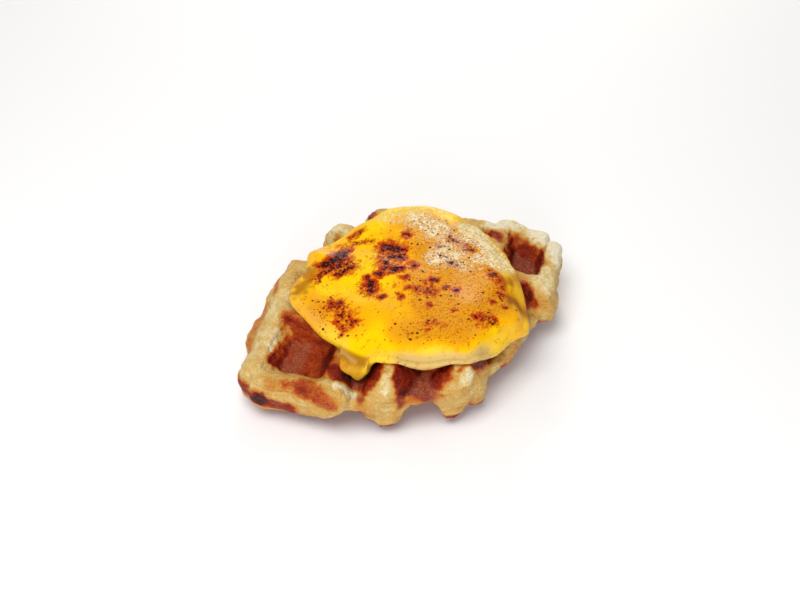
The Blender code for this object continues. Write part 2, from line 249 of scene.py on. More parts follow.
# Cheese slice: its edge as X and Y, its thickness, and how it lies
CHEESE_CENTRE = (5.0, 0.5)
CHEESE_EDGE = (
    (-32.0, 8.5), (-29.0, -4.0), (-25.8, -11.5), (-27.9, -16.2), (-28.6, -19.4), (-26.2, -21.4),
    (-22.9, -24.4), (-20.4, -23.4), (-17.0, -26.2), (-8.0, -31.4), (-1.0, -34.6), (6.0, -38.4),
    (14.8, -35.8), (22.3, -32.2), (30.2, -30.2), (34.2, -22.5), (37.2, -12.0), (38.8, 3.0), (37.0, 18.0),
    (29.0, 32.0), (20.0, 36.2), (13.2, 37.4), (6.8, 35.6), (1.2, 35.2), (-8.5, 32.6), (-14.0, 32.0),
    (-18.3, 30.0), (-20.8, 25.4), (-22.6, 22.2), (-27.0, 19.5), (-31.0, 15.5),
)
CHEESE_THICKNESS = 4.2
CHEESE_THINNEST = 3.1
CHEESE_RIM_RADIUS = 1.9
CHEESE_GAP = 0.3  # between the slice and the dough
CHEESE_AROUND = 480  # points round the slice
CHEESE_RINGS = 108
CHEESE_UNDER_RINGS = 14
CHEESE_RIM_STEPS = 14
CHEESE_EDGE_STEP = 4  # every fourth point gives the edge from which the distance to it is measured
TONGUE_AT = (-26.5, -20.5)
TONGUE_RADIUS = 6.0

# Ledge across the front left corner, from and to this U and V: past it the slice drops to its tongue
LEDGE_START = (-12.5, -26.8)
LEDGE_END = (1.5, -30.8)
LEDGE_DROP = 1.9
LEDGE_WIDTH = 3.0
LEDGE_SHADE = 3.6  # how far past the ledge the cheese is painted olive brown: thinner cheese over the dough, and painted shade under the ledge
LEDGE_HIGHLIGHT = ((-27.4, -15.0), (-25.4, -20.6), 0.8)  # painted highlight on the crease below it: both ends and radius
HIGHLIGHT_TONE = 0.55

# Rounded front of the slice: from this far in it slopes down to its rim by this much
ROUND_REACH = 5.0
ROUND_DROP = 1.5

# Creased right end of the slice, as directions about its centre in degrees. Its front half has creases,
# darker in their valleys as painted shade, and its back half is a pale torn crust, which thins out to the
# rim.
FOLDS_FROM = -40.0
CRUST_FROM = -18.0
FOLDS_TO = 32.0
FOLD_SPACING = 2.2
FOLD_STRETCH = 4.0  # how many degrees along the rim count as 1 mm across it
FOLD_STEEPNESS = 2.2
FOLD_HEIGHT = 0.2
FOLD_REACH = 7.0
CRUST_DROP = 1.3
EDGE_WOBBLE = 0.6
EDGE_WOBBLE_SIZE = 2.6

# Pale thick rim along the front, as directions about the slice's centre, and how far in it reaches
PALE_RIM_FROM = -120.0
PALE_RIM_TO = -80.0
PALE_RIM_REACH = 2.8
RIM_ELSEWHERE = 0.2  # share of the pale rim's tone round the rest of the edge
TURN_BLUR = 10.0  # over how many degrees the stretches along the rim fade out

# Brown margin where the slice thins out over the left rib: both ends and radius
SCORCHED_MARGIN = ((-29.5, 14.5), (-21.5, 21.5), 3.2)
MARGIN_TONE = 0.75
MARGIN_RAGGED_SIZE = 2.0

# Blistered stretches of the slice: X, Y, radius and strength from 0 to 1
BLISTERS = (
    (20.5, 30.0, 8.0, 1.0), (10.0, 34.0, 5.0, 0.667), (24.0, 20.0, 6.5, 1.0), (22.0, 8.0, 6.5, 1.0),
    (32.0, 0.5, 5.5, 1.0), (33.0, 12.0, 5.0, 1.0), (22.5, -1.0, 5.0, 0.667), (14.5, 7.0, 5.5, 0.667),
)
BLISTER_HEIGHT = 0.35
CHAR_HEIGHT = 0.2
BUBBLE_SIZE = 1.9

# Bulges of the slice: X, Y, radius and height
BULGES = (
    (-17.5, 27.5, 4.0, 1.3), (-22.0, -1.0, 9.0, 0.5), (14.0, -20.0, 12.0, 0.7), (19.5, -31.5, 5.5, 1.1),
)
SWELL_SIZE = 9.0
SWELL_HEIGHT = 0.35

# The torch dried the right half to a deeper gold: which way it lies from the slice's middle, where it starts
# and is full that way, how far this border wanders, and how far in from the edge it starts and is full
DRIED_TOWARDS = (0.9, -0.44)
DRIED_ALONG = (-6.0, 8.0)
DRIED_WANDER = 6.0
DRIED_INSET = (2.5, 8.0)

# Stretches of deeper gold near its left edge: X, Y, radius and strength
GOLDEN_SPOTS = ((-26.5, 1.0, 5.5, 1.0), (-27.5, 10.0, 4.0, 0.4), (-22.0, -9.0, 4.0, 0.4))

# Grid on which the slice sinks onto the dough
SAG_STEP = 0.5
SAG_REACH = 50.0  # half of the grid's width
SAG_PASSES = 1600
SAG_FROM = 11.0  # height from which it sinks
SAG_LIMIT = 8.0  # the pull grows with the gap under the slice, up to this gap
SAG_PULL = 0.0015
TONGUE_PULL = 0.022
LEVEL_PASSES = 240  # how often the upper face is smoothed
SPREAD = 4  # how many steps of the grid the dough's peaks are widened by, so that they stay under the slice
LOOK_FROM = 60.0  # height from which the dough's upper face is looked for

# Strokes of the torch on the cheese: X and Y of both ends, radius, strength from 0 to 1
SCORCHES = (
    # Left
    (-19.1, 21.9, -15.5, 21.9, 1.2, 0.8), (-14.1, 21.8, -10.4, 23.8, 2.3, 1.0),
    (-10.4, 23.8, -7.1, 26.3, 1.4, 0.8), (-12.8, 20.0, -12.5, 16.3, 1.7, 0.66),
    (-18.1, 18.4, -15.5, 19.3, 1.1, 0.7), (-16.0, 15.6, -13.4, 15.7, 1.3, 0.7),
    (-23.1, 15.7, -19.5, 20.0, 1.1, 0.55), (-3.2, 31.7, 1.4, 32.9, 0.8, 0.6),
    (-4.7, 29.3, 1.4, 25.3, 0.7, 0.45), (-8.1, 29.1, -4.0, 28.0, 1.3, 0.4),
    (-15.0, 19.0, -11.0, 18.0, 3.2, 0.6),
    # Middle
    (4.4, 20.4, 7.6, 16.8, 2.2, 0.9), (4.5, 14.9, 6.5, 13.5, 1.9, 0.85),
    (1.0, 13.0, -0.9, 10.5, 1.3, 0.8), (0.4, 8.6, 3.8, 8.0, 1.3, 0.9),
    (-3.6, 8.5, -3.2, 8.4, 1.3, 1.0), (-7.7, 9.1, -7.9, 7.5, 0.9, 0.85),
    (-8.1, 5.7, -8.7, 2.8, 1.5, 0.95), (-10.6, 3.3, -10.0, 3.2, 1.1, 0.75),
    (-7.4, -2.1, -7.0, -2.2, 0.9, 0.85), (0.4, 16.5, 0.6, 16.5, 0.6, 0.6),
    (13.3, 22.5, 13.5, 22.4, 1.2, 0.85), (-1.1, 1.6, -1.6, 0.2, 0.5, 0.5),
    (-1.8, -2.4, -1.6, -4.9, 0.5, 0.6), (3.0, 16.0, 2.0, 11.0, 3.4, 0.55),
    (-8.5, 5.0, -9.5, 3.0, 2.6, 0.5),
    # Front left
    (-22.5, 1.5, -21.0, -4.0, 2.8, 0.42), (-22.9, 2.5, -20.5, 1.6, 1.1, 0.75),
    (-22.5, 0.1, -22.2, 0.0, 0.9, 0.6), (-21.8, -2.2, -22.9, -3.9, 1.0, 0.7),
    (-24.6, -5.4, -24.4, -5.4, 0.6, 0.9), (-23.7, -7.2, -23.3, -8.7, 0.7, 0.7),
    (-25.2, -9.6, -24.9, -9.7, 0.6, 0.6), (-21.9, -7.9, -21.6, -8.0, 0.8, 0.65),
    (-20.3, -6.7, -18.6, -8.2, 0.7, 0.75),
    # Right
    (3.3, 3.0, 3.4, 3.0, 0.9, 0.95), (8.3, 7.4, 8.5, 7.4, 1.2, 0.9), (1.9, -2.1, 2.0, -2.1, 0.6, 0.9),
    (11.1, -2.7, 11.3, -2.7, 1.0, 0.9), (8.3, -2.5, 8.4, -2.5, 0.5, 0.6), (9.2, -5.1, 9.4, -5.1, 0.6, 0.75),
    (4.3, -3.9, 7.9, -7.7, 1.5, 0.6), (13.0, -7.1, 13.6, -7.3, 1.2, 0.45),
    (15.5, -10.1, 15.7, -10.2, 0.9, 0.9), (14.4, -7.2, 14.5, -7.2, 0.5, 0.7),
    (-2.0, -5.1, -1.9, -5.1, 0.6, 0.9), (4.6, -13.0, 4.7, -13.0, 0.6, 0.8),
    (10.5, -19.1, 10.6, -19.1, 0.5, 0.7), (-0.2, -20.5, 0.0, -20.5, 0.5, 0.7),
    (-1.1, -23.1, -1.0, -23.1, 0.5, 0.6), (19.5, 11.8, 21.7, 10.9, 0.6, 0.75),
    (18.9, 7.6, 20.4, 6.0, 0.7, 0.75), (20.2, 3.5, 22.0, 1.8, 1.2, 0.6),
    (25.9, 14.8, 27.0, 11.6, 1.2, 0.65), (29.2, 9.1, 29.3, 9.0, 0.6, 0.8),
    (27.7, 7.0, 29.9, 6.1, 0.7, 0.75), (32.9, 8.7, 33.0, 8.6, 0.6, 0.6),
    (30.9, -7.3, 30.6, -10.7, 1.4, 0.6), (31.3, -13.8, 31.2, -14.0, 1.3, 0.65),
    (28.0, -17.6, 28.2, -17.6, 1.1, 0.6), (23.8, -19.7, 24.0, -19.7, 0.5, 0.7),
    (26.7, -22.7, 26.8, -22.7, 0.6, 0.7), (14.9, -24.6, 15.0, -24.6, 0.7, 0.85),
    (17.3, -24.9, 17.4, -24.9, 0.6, 0.8), (20.8, -26.8, 20.9, -26.8, 0.7, 0.75),
    (16.3, -28.4, 19.6, -27.7, 1.4, 0.5), (16.0, -26.5, 18.5, -26.3, 1.8, 0.45),
    (1.5, -19.3, 4.8, -24.0, 0.8, 0.4),
)
STROKE_WANDER = 0.9  # how far the strokes' edges wander
STROKE_WANDER_SIZE = 2.4
STROKE_TURN = math.radians(33.0)
STROKE_STRETCH = 1.8  # how much longer the torn edges of the burns are along the strokes

# Patterns of the crust. The grain is finer on a real one, and is drawn as coarse as it needs to show.
BAKE_PATCH_SIZE = 2.857
GRAIN_SIZE = 0.625
RIPPLE_SIZE = 1.25
STREAK_LENGTH = 6.25  # edges of the dough's leaves, which lie level
STREAK_THICKNESS = 1.0

# Patterns of the cheese. Its pores and freckles are finer too, and are drawn so that they show.
CLOUD_SIZE = 11.11
TEAR_SIZE = 1.818
CHEESE_PORE_SIZE = 0.7143
FRECKLE_SPACING = 0.9
SOOT_SPACING = 1.5
DOT_RADIUS = 0.42  # as a share of the spacing

# Camera: the photograph's angle and scale, its aim on the flat layout and the pixel row where the aim falls
CAMERA_AZIMUTH = math.radians(-26.0)
CAMERA_ELEVATION = math.radians(45.0)
CAMERA_DISTANCE = 450.0
CAMERA_AIM = Vector((0.0, 0.0, 15.0))
CAMERA_AIM_ROW = 317.0
PIXELS_PER_MM = 2.9
PICTURE = (800.0, 600.0)
SENSOR_WIDTH = 36.0
CLIP_START = 0.01

# Studio, in metres: each light's name, place, size across, power in watts and colour
LIGHTS = (
    ("back_right_softbox", (0.28, 0.48, 0.24), 0.18, 1.1, "#FFFAF2"),
    ("overhead_softbox", (-0.2, -0.15, 0.6), 0.4, 2.75, "#FFFFFF"),
    ("front_softbox", (-0.3, -0.55, 0.22), 0.35, 1.25, "#FFFFFF"),
)
LIGHTS_AIM = Vector((0.0, 0.0, 0.015))
ROOM_LIGHT = 0.35
FLOOR_HALF = 1.5


def srgb(code):
    """Linear colour of an sRGB hex value."""
    channels = [int(code[place:place + 2], 16) / 255.0 for place in (1, 3, 5)]
    linear = [value / 12.92 if value <= 0.04045 else ((value + 0.055) / 1.055) ** 2.4 for value in channels]
    return (*linear, 1.0)


def smoothstep(start, end, value):
    """0 up to the start and 1 past the end, with a soft slope between; the end may be the lower one."""
    share = np.clip((value - start) / (end - start), 0.0, 1.0)
    return share * share * (3.0 - 2.0 * share)


# Flat layout

def lattice_to_sheet(u, v):
    """X and Y of a point given along the lattice."""
    cos_turn = math.cos(LATTICE_TURN)
    sin_turn = math.sin(LATTICE_TURN)
    return Vector((u * cos_turn + v * sin_turn, v * cos_turn - u * sin_turn))


def sheet_to_lattice(x, y):
    """U and V of a point or of many, given on the sheet."""
    cos_turn = math.cos(LATTICE_TURN)
    sin_turn = math.sin(LATTICE_TURN)
    return x * cos_turn - y * sin_turn, x * sin_turn + y * cos_turn


def arch_radius(x):
    """The arch bends less on the right."""
    return ARCH_RADIUS_LEFT if x < 0.0 else ARCH_RADIUS_RIGHT


def arch(x, y, h):
    """Place on the arched sheet of a point on the flat one."""
    radius = arch_radius(x)
    angle = x / radius
    return Vector(((radius + h) * math.sin(angle), y, ARCH_TOP - radius + (radius + h) * math.cos(angle)))


def arch_up(x):
    """Direction of H on the arched sheet."""
    angle = x / arch_radius(x)
    return Vector((math.sin(angle), 0.0, math.cos(angle)))


def closed_curve(points, count):
    """Even parameter steps along a smooth closed curve through the points."""
    curve = []
    total = len(points)
    for step in range(count):
        place = step * total / count
        index = int(place)
        t = place - index
        p0, p1, p2, p3 = (Vector(points[(index + k) % total]) for k in (-1, 0, 1, 2))
        curve.append(
            0.5 * (2.0 * p1 + (p2 - p0) * t + (2.0 * p0 - 5.0 * p1 + 4.0 * p2 - p3) * t**2
                   + (3.0 * p1 - p0 - 3.0 * p2 + p3) * t**3)
        )
    return curve


def distance_to_line(places, start, end):
    """How far each place lies from the straight line between two points."""
    start = np.array(start)
    run = np.array(end) - start
    along = np.clip((places - start) @ run / (run @ run), 0.0, 1.0)
    return np.linalg.norm(places - start - along[:, None] * run, axis=1)


def distance_inside(points, xs, ys):
    """How far each place lies inside a closed outline, and below 0 outside it."""
    places = np.column_stack([xs, ys])
    nearest = np.full(xs.shape, np.inf)
    inside = np.zeros(xs.shape, dtype=bool)
    for index in range(len(points)):
        ax, ay = points[index - 1]
        bx, by = points[index]
        nearest = np.minimum(nearest, distance_to_line(places, (ax, ay), (bx, by)))
        crosses = (ay > ys) != (by > ys)
        # A line of one Y divides by 0 here, but it crosses none of the places' rows
        with np.errstate(divide="ignore", invalid="ignore"):
            at_x = ax + (ys - ay) * (bx - ax) / (by - ay)
        inside ^= crosses & (xs < at_x)
    return np.where(inside, nearest, -nearest)


def noise_at(places, size, seed):
    """Smooth noise from about -1 to 1 at many places, one wave about as long as the size."""
    shift = Vector((seed * 7.3, seed * 3.1, seed * 5.7))
    return np.array([noise.noise(Vector(place) / size + shift) for place in places])


# Pieces

def new_piece(name, bm, material):
    mesh = bpy.data.meshes.new(name)
    bm.to_mesh(mesh)
    bm.free()
    mesh.materials.append(material)
    mesh.shade_smooth()
    item = bpy.data.objects.new(name, mesh)
    bpy.context.scene.collection.objects.link(item)
    return item


def add_rib(bm, rib):
    """A drum pulled out to a bar with rounded ends, narrow along its top and bottom and wide between."""
    a = lattice_to_sheet(rib.start[0], rib.start[1])
    b = lattice_to_sheet(rib.end[0], rib.end[1])
    along = (b - a).normalized()
    left = Vector((-along.y, along.x))
    drum = bmesh.ops.create_cone(bm, cap_ends=True, segments=RIB_SIDES, radius1=1.0, radius2=1.0, depth=2.0)
    drum = drum["verts"]
    bmesh.ops.rotate(bm, verts=drum, matrix=Matrix.Rotation(math.pi / RIB_SIDES, 3, "Z"))
    edges = list({edge for vert in drum for edge in vert.link_edges})
    faces = list({face for vert in drum for face in vert.link_faces})
    bar = drum + edges + faces
    for level in (-SKIRT_CUT, SKIRT_CUT):
        bar = bmesh.ops.bisect_plane(bm, geom=bar, plane_co=(0, 0, level), plane_no=(0, 0, 1))["geom"]
    for vert in [item for item in bar if isinstance(item, bmesh.types.BMVert)]:
        at_end = vert.co.x > 0.0
        which = 1 if at_end else 0
        ahead = abs(vert.co.x) ** END_SQUARENESS
        aside = math.copysign(abs(vert.co.y) ** END_SQUARENESS, vert.co.y)
        on_crest = abs(vert.co.z) > (1.0 + SKIRT_CUT) / 2.0
        half = CREST_HALF if on_crest else (rib.left if aside > 0.0 else rib.right)
        reach = (rib.under if on_crest else rib.reach)[which]
        if not at_end:
            reach += rib.slant * aside
        if on_crest and vert.co.z > 0.0:
            reach = 0.0
        if at_end and not on_crest and vert.co.z < 0.0:
            reach -= rib.tuck
        beyond = reach - half * (1.0 - ahead)
        middle = (b + along * beyond) if at_end else (a - along * beyond)
        if on_crest and vert.co.z > 0.0 and not at_end:
            middle -= left * rib.lean
        place = middle + left * half * aside
        height = (rib.end if at_end else rib.start)[2] if on_crest else SKIRT_HEIGHT
        if on_crest and vert.co.z < 0.0:
            height *= rib.depth
        vert.co = (place.x, place.y, math.copysign(height, vert.co.z))


def add_slab(bm, outline, share, low, high):
    """A flat slab with the outline's shape, at a share of its size about its middle."""
    edge = closed_curve(outline, 4 * len(outline))
    middle = sum(edge, Vector((0.0, 0.0))) / len(edge)
    places = [middle + (point - middle) * share for point in edge]
    slab = bm.faces.new([bm.verts.new((place.x, place.y, low)) for place in places])
    grown = bmesh.ops.extrude_face_region(bm, geom=[slab])["geom"]
    top = [item for item in grown if isinstance(item, bmesh.types.BMVert)]
    bmesh.ops.translate(bm, verts=top, vec=(0, 0, high - low))


def dough_relief(point):
    """How far the baked surface stands out at a point of the flat sheet."""
    lump = noise.noise(point / LUMP_SIZE)
    crag = noise.noise(point / CRAG_SIZE + CRAG_SHIFT)
    waver = LEAF_WAVER * noise.noise(point / LEAF_WAVER_SIZE + LEAF_WAVER_SHIFT)
    leaf = math.sin(math.tau * (point.z + LEAF_FALL * point.x + waver) / LEAF_SPACING)
    pore = noise.noise(point / PORE_SIZE + PORE_SHIFT)
    return LUMP_HEIGHT * lump + CRAG_HEIGHT * crag + LEAF_HEIGHT * leaf + PORE_HEIGHT * pore


def belly_stretch(x, y):
    """How much deeper the ribs reach under the sheet at a point."""
    far = math.hypot((x - BELLY_CENTRE[0]) / BELLY_HALF_LENGTH, (y - BELLY_CENTRE[1]) / BELLY_HALF_WIDTH)
    full = arch(x, y, 0.0).z / LOWER_CREST
    return 1.0 + (full - 1.0) * smoothstep(1.0, BELLY_FULL, far)


def crest_distance(us, vs):
    """How far each place lies from the nearest rib's middle line."""
    places = np.column_stack([us, vs])
    ribs = [rib for rib in RIBS if rib.start[2] >= CREST_LOWEST]
    return np.min([distance_to_line(places, rib.start[:2], rib.end[:2]) for rib in ribs], axis=0)


def browning(flats, normals):
    """How brown the dough is and how far its cells are glazed with caramelised butter, 0 to 1."""
    us, vs = sheet_to_lattice(flats[:, 0], flats[:, 1])
    hs = flats[:, 2]
    blotch = noise_at(flats, BLOTCH_SIZE, seed=1)
    mottle = noise_at(flats, MOTTLE_SIZE, seed=2)
    fleck = noise_at(flats, FLECK_SIZE, seed=8)
    depth = distance_inside(CELLS_EDGE, us, vs)
    inside = smoothstep(-CELL_BLUR, CELL_BLUR, depth + 0.6 * mottle) * smoothstep(*CELL_LEVELS, hs)
    near_teeth = smoothstep(TEETH_FROM, TEETH_FROM + 2.0, us) * smoothstep(TEETH_BACK, TEETH_BACK - 3.0, vs)
    near_teeth *= smoothstep(TEETH_DEPTH + 2.0, TEETH_DEPTH, depth)
    aside = crest_distance(us, vs) + 0.6 * mottle + TEETH_SHIFT * near_teeth
    cell = inside * smoothstep(FLANK_FROM, FLANK_DARK, aside)
    lower_edge = smoothstep(*LOWER_LEVELS, hs + 0.5 * mottle)
    lower = np.maximum(smoothstep(*LOWER_FACING, normals[:, 2]), lower_edge)
    wall = smoothstep(*WALL_FACING, np.abs(sheet_to_lattice(normals[:, 0], normals[:, 1])[0]))
    crest_tone = CREST_TONE + 0.06 * blotch + 0.05 * mottle + 0.03 * fleck
    cell_tone = CELL_TONE + 0.05 * blotch + 0.08 * mottle + 0.05 * fleck + WALL_TONE * wall
    brown = crest_tone + (cell_tone - crest_tone) * np.maximum(cell, lower)
    for patch in PATCHES:
        far = distance_to_line(flats, patch.start, patch.end) / patch.radius
        brown += patch.change * smoothstep(1.5, 0.5, far + 0.3 * mottle + 0.2 * fleck)
    start, end, radius = DRY_SLOPE
    glaze = inside * smoothstep(*GLAZE_LEVELS, hs + 0.5 * mottle)
    glaze *= smoothstep(0.7, 1.4, distance_to_line(flats, start, end) / radius + 0.2 * mottle)
    return np.clip(brown, 0.0, 1.0), glaze


def join_forms(item):
    """Makes one closed skin of a piece whose mesh is forms that run through each other."""
    remesh = item.modifiers.new("join", "REMESH")
    remesh.mode = "VOXEL"
    remesh.voxel_size = VOXEL
    graph = bpy.context.evaluated_depsgraph_get()
    joined = bpy.data.meshes.new_from_object(item.evaluated_get(graph))
    item.modifiers.clear()
    item.data = joined


def make_dough(material):
    """The baked dough: its ribs, its thin floor and the thicker dough under its middle, joined."""
    bm = bmesh.new()
    for rib in RIBS:
        add_rib(bm, rib)
    add_slab(bm, WEB_EDGE, 1.0, -WEB_HALF, WEB_HALF)
    add_slab(bm, WEB_EDGE, UNDER_SHARE, -UNDER_DEPTH, 0.0)
    add_slab(bm, CHEESE_EDGE, CORE_SHARE, 0.0, CORE_HEIGHT)
    bmesh.ops.recalc_face_normals(bm, faces=bm.faces)
    dough = new_piece("croffle_dough", bm, material)
    join_forms(dough)

    bm = bmesh.new()
    bm.from_mesh(dough.data)
    for _ in range(SMOOTH_PASSES):
        bmesh.ops.smooth_vert(
            bm, verts=bm.verts, factor=SMOOTH_FACTOR, use_axis_x=True, use_axis_y=True, use_axis_z=True
        )
    bm.normal_update()
    flats = np.array([vert.co + vert.normal * dough_relief(vert.co) for vert in bm.verts])
    brown, glaze = browning(flats, np.array([vert.normal for vert in bm.verts]))
    brown_layer = bm.verts.layers.float.new("brown")
    glaze_layer = bm.verts.layers.float.new("glaze")
    for index, vert in enumerate(bm.verts):
        x, y, h = flats[index]
        if h < 0.0:
            h *= belly_stretch(x, y)
        place = arch(x, y, h) + LAYOUT_SHIFT
        place.z = max(place.z, 0.0)
        vert.co = place * MM
        vert[brown_layer] = brown[index]
        vert[glaze_layer] = glaze[index]
    bm.to_mesh(dough.data)
    bm.free()
    return dough


def dough_height(tree, x, y):
    """Height of the dough's upper face over the middle of the sheet, and far below it beside the dough."""
    start = arch(x, y, LOOK_FROM) + LAYOUT_SHIFT
    distance = tree.ray_cast(start * MM, -arch_up(x), 2.0 * LOOK_FROM * MM)[3]
    return -LOOK_FROM if distance is None else LOOK_FROM - distance / MM


def spread_up(grid, steps):
    """Each value becomes the highest within some steps round it."""
    for _ in range(steps):
        padded = np.pad(grid, 1, mode="edge")
        across = np.maximum(padded[:-2, 1:-1], padded[2:, 1:-1])
        along = np.maximum(padded[1:-1, :-2], padded[1:-1, 2:])
        grid = np.maximum(grid, np.maximum(across, along))
    return grid


def blurred(grid):
    """Each value becomes the mean of its four neighbours."""
    padded = np.pad(grid, 1, mode="edge")
    return (padded[:-2, 1:-1] + padded[2:, 1:-1] + padded[1:-1, :-2] + padded[1:-1, 2:]) / 4.0


def past_ledge(xs, ys):
    """How far each place lies past the ledge, and 1 beside the ledge's length, fading to 0 past its ends."""
    us, vs = sheet_to_lattice(xs, ys)
    run = np.array(LEDGE_END) - np.array(LEDGE_START)
    length = np.linalg.norm(run)
    ahead_u, ahead_v = run / length
    along = (us - LEDGE_START[0]) * ahead_u + (vs - LEDGE_START[1]) * ahead_v
    beyond = (us - LEDGE_START[0]) * ahead_v - (vs - LEDGE_START[1]) * ahead_u
    return beyond, smoothstep(-4.0, -1.0, along) * smoothstep(length + 2.0, length - 2.0, along)


def sunk_slice(tree):
    """Heights of the slice's lower and upper faces on the grid: it bridges the cells and sags into them."""
    count = int(2 * SAG_REACH / SAG_STEP) + 1
    ticks = [SAG_STEP * k - SAG_REACH for k in range(count)]
    dough = np.array([[dough_height(tree, x, y) for y in ticks] for x in ticks])
    floor = spread_up(dough, SPREAD) + CHEESE_GAP
    xs, ys = np.meshgrid(ticks, ticks, indexing="ij")
    to_tongue = np.hypot(xs - TONGUE_AT[0], ys - TONGUE_AT[1]) / TONGUE_RADIUS
    pull = SAG_PULL + TONGUE_PULL * np.exp(-to_tongue**2)
    low = np.maximum(floor, SAG_FROM)
    for _ in range(SAG_PASSES):
        mean = blurred(low)
        low = np.maximum(mean + pull * np.clip(floor - mean, -SAG_LIMIT, 0.0), floor)
    top = low + CHEESE_THICKNESS
    for _ in range(LEVEL_PASSES):
        top = np.maximum(blurred(top), low + CHEESE_THINNEST)
    beyond, beside = past_ledge(xs, ys)
    drop = LEDGE_DROP * smoothstep(0.0, LEDGE_WIDTH, beyond) * beside
    low = np.maximum(low - drop, floor)
    return low, np.maximum(top - drop, low + CHEESE_THINNEST)


def read_grid(grid, xs, ys):
    """Values between the grid's points."""
    a = (xs + SAG_REACH) / SAG_STEP
    b = (ys + SAG_REACH) / SAG_STEP
    i = a.astype(int)
    j = b.astype(int)
    s = a - i
    t = b - j
    near = grid[i, j] * (1.0 - t) + grid[i, j + 1] * t
    far = grid[i + 1, j] * (1.0 - t) + grid[i + 1, j + 1] * t
    return near * (1.0 - s) + far * s


def torch_marks(places):
    """How charred and how toasted the cheese is at each place, 0 to 1."""
    wander = np.column_stack([noise_at(places, STROKE_WANDER_SIZE, seed) for seed in (3, 4)])
    spots = places[:, :2] + STROKE_WANDER * wander
    char = np.zeros(len(places))
    toast = np.zeros(len(places))
    for x, y, end_x, end_y, radius, strength in SCORCHES:
        far = distance_to_line(spots, (x, y), (end_x, end_y))
        char = np.maximum(char, strength * smoothstep(1.5 * radius, 0.3 * radius, far))
        toast = np.maximum(toast, strength * smoothstep(1.0 + 2.1 * radius, 0.5 * radius, far))
    return char, toast


def turn_about_centre(xs, ys):
    """Direction of each place as seen from the slice's centre, in degrees."""
    return np.degrees(np.arctan2(ys - CHEESE_CENTRE[1], xs - CHEESE_CENTRE[0]))


def within_turn(turns, low, high):
    """1 between two directions in degrees, fading to 0 outside them."""
    return smoothstep(low - TURN_BLUR, low, turns) * smoothstep(high + TURN_BLUR, high, turns)


def sum_of_spots(spots, xs, ys):
    """The sum of soft round spots, each given by X, Y, radius and height."""
    total = np.zeros(xs.shape)
    for x, y, radius, height in spots:
        total += height * np.exp(-((xs - x)**2 + (ys - y)**2) / radius**2)
    return total


def face_rings(grid, edge, count):
    """Places on one face of the slice, ring by ring from its centre to its edge."""
    centre = np.array(CHEESE_CENTRE)
    rings = []
    for ring in range(count + 1):
        spots = centre + (edge - centre) * ring / count
        rings.append(np.column_stack([spots, read_grid(grid, *spots.T)]))
    return rings


def slice_shell(tree):
    """Places on the slice, ring by ring from its centre over the rim to its centre below, and its edge."""
    low, top = sunk_slice(tree)
    edge = np.array(closed_curve(CHEESE_EDGE, CHEESE_AROUND))
    outward = edge - np.array(CHEESE_CENTRE)
    outward /= np.linalg.norm(outward, axis=1)[:, None]
    torn = within_turn(turn_about_centre(*edge.T), CRUST_FROM, FOLDS_TO)
    wobble = noise_at(np.column_stack([edge, np.zeros(CHEESE_AROUND)]), EDGE_WOBBLE_SIZE, seed=10)
    edge += outward * (EDGE_WOBBLE * torn * wobble)[:, None]
    upper = read_grid(top, *edge.T)
    lower = read_grid(low, *edge.T)
    rings = face_rings(top, edge, CHEESE_RINGS)
    for step in range(1, CHEESE_RIM_STEPS):
        angle = math.pi * step / CHEESE_RIM_STEPS
        spots = edge + outward * CHEESE_RIM_RADIUS * math.sin(angle)
        heights = (upper + lower) / 2.0 + (upper - lower) / 2.0 * math.cos(angle)
        rings.append(np.column_stack([spots, heights]))
    rings += reversed(face_rings(low, edge, CHEESE_UNDER_RINGS))
    return np.array(rings), edge


def ledge_tones(places):
    """Olive brown past the ledge, thinner cheese with painted shade, and the crease's painted highlight, 0 to
    1.
    """
    beyond, beside = past_ledge(places[:, 0], places[:, 1])
    fading = smoothstep(LEDGE_SHADE + 2.0, LEDGE_SHADE - 1.5, beyond)
    # Painted shade under the ledge, on the thinner cheese past it
    shade = beside * smoothstep(0.2, 1.6, beyond) * (0.48 + 0.36 * fading)
    # Painted highlight along the crease below the ledge
    start, end, radius = LEDGE_HIGHLIGHT
    ledge_highlight = HIGHLIGHT_TONE * smoothstep(1.5, 0.1, distance_to_line(places[:, :2], start, end) / radius)
    return shade, ledge_highlight


def creased_end(turns, inset):
    """How creased and how crusted the right end is, 0 to 1, and the wave of its creases, -1 to 1."""
    near_rim = smoothstep(FOLD_REACH, 0.6 * FOLD_REACH, inset)
    folds = within_turn(turns, FOLDS_FROM, FOLDS_TO) * near_rim
    crusted = folds * smoothstep(CRUST_FROM - TURN_BLUR, CRUST_FROM + TURN_BLUR, turns)
    along_rim = np.column_stack([turns / FOLD_STRETCH, inset, np.zeros(turns.shape)])
    wave = np.clip(FOLD_STEEPNESS * noise_at(along_rim, FOLD_SPACING, seed=9), -1.0, 1.0)
    return folds, crusted, wave


